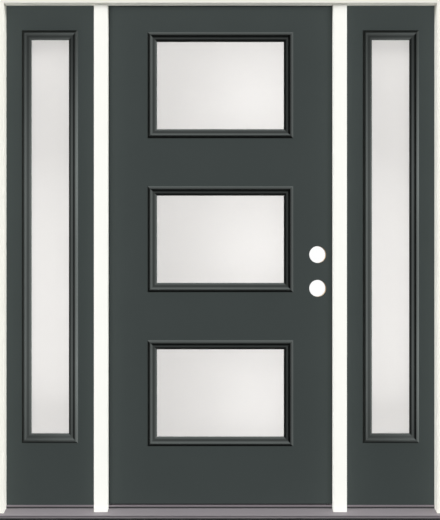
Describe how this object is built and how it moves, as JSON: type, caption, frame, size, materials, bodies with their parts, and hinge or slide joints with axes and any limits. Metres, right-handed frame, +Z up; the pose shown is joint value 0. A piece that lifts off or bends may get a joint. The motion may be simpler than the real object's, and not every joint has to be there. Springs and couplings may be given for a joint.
{
  "type": "entrance door with sidelights",
  "caption": "Hinged entrance door leaf with frosted rectangular lites and lock bores, between fixed glazed sidelights, in a rabbeted frame on a sloping sill.",
  "frame": {"origin": "on the underside of the sill, below the middle of the door leaf, halfway through the jambs", "axes": "+Z up, +X to the right seen from outside, -Y towards the outside"},
  "size_m": [1.75, 0.16, 2.072],
  "materials": {
    "frame_white": "white factory paint, satin",
    "door_skin": "smooth fibreglass, dark grey-green satin paint",
    "door_timber": "engineered timber edge, painted as the skins",
    "door_foam": "polyurethane foam",
    "lite_frame": "moulded plastic, painted as the skins",
    "frosted_glass": "satin etched",
    "sill_aluminium": "satin anodised, grey",
    "sill_composite": "black composite",
    "seal_foam": "foam bulb in a vinyl cover",
    "seal_vinyl": "soft vinyl",
    "hinge_steel": "satin nickel plate"
  },
  "bodies": {
    "frame": {"bottom_hinge_frame_leaf": "hinge_steel", "head_jamb": "frame_white", "head_weather_seal": "seal_foam", "hinge_mullion": "frame_white", "hinge_pins": "hinge_steel", "hinge_side_weather_seal": "seal_foam", "left_jamb": "frame_white", "left_sidelight_back_frame": "lite_frame", "left_sidelight_front_frame": "lite_frame", "left_sidelight_glass": "frosted_glass", "left_sidelight_panel": "door_skin", "lock_mullion": "frame_white", "lock_side_weather_seal": "seal_foam", "middle_hinge_frame_leaf": "hinge_steel", "right_jamb": "frame_white", "right_sidelight_back_frame": "lite_frame", "right_sidelight_front_frame": "lite_frame", "right_sidelight_glass": "frosted_glass", "right_sidelight_panel": "door_skin", "sidelight_sill_caps": "sill_aluminium", "sill_base": "sill_composite", "sill_deck": "sill_aluminium", "threshold_cap": "sill_aluminium", "top_hinge_frame_leaf": "hinge_steel"},
    "door": {"bottom_hinge_door_leaf": "hinge_steel", "door_back_skin": "door_skin", "door_bottom_rail": "door_timber", "door_bottom_sweep": "seal_vinyl", "door_core": "door_foam", "door_front_skin": "door_skin", "door_hinge_stile": "door_timber", "door_lock_block": "door_timber", "door_lock_stile": "door_timber", "door_top_rail": "door_timber", "lower_lite_back_frame": "lite_frame", "lower_lite_front_frame": "lite_frame", "lower_lite_glass": "frosted_glass", "middle_hinge_door_leaf": "hinge_steel", "middle_lite_back_frame": "lite_frame", "middle_lite_front_frame": "lite_frame", "middle_lite_glass": "frosted_glass", "top_hinge_door_leaf": "hinge_steel", "upper_lite_back_frame": "lite_frame", "upper_lite_front_frame": "lite_frame", "upper_lite_glass": "frosted_glass"}
  },
  "joints": [
    {"name": "door_swing", "type": "hinge", "parent": "frame", "child": "door", "pos_m": [-0.4565, 0.0655, 0], "axis": [0, 0, 1], "range_deg": [0, 110]}
  ]
}
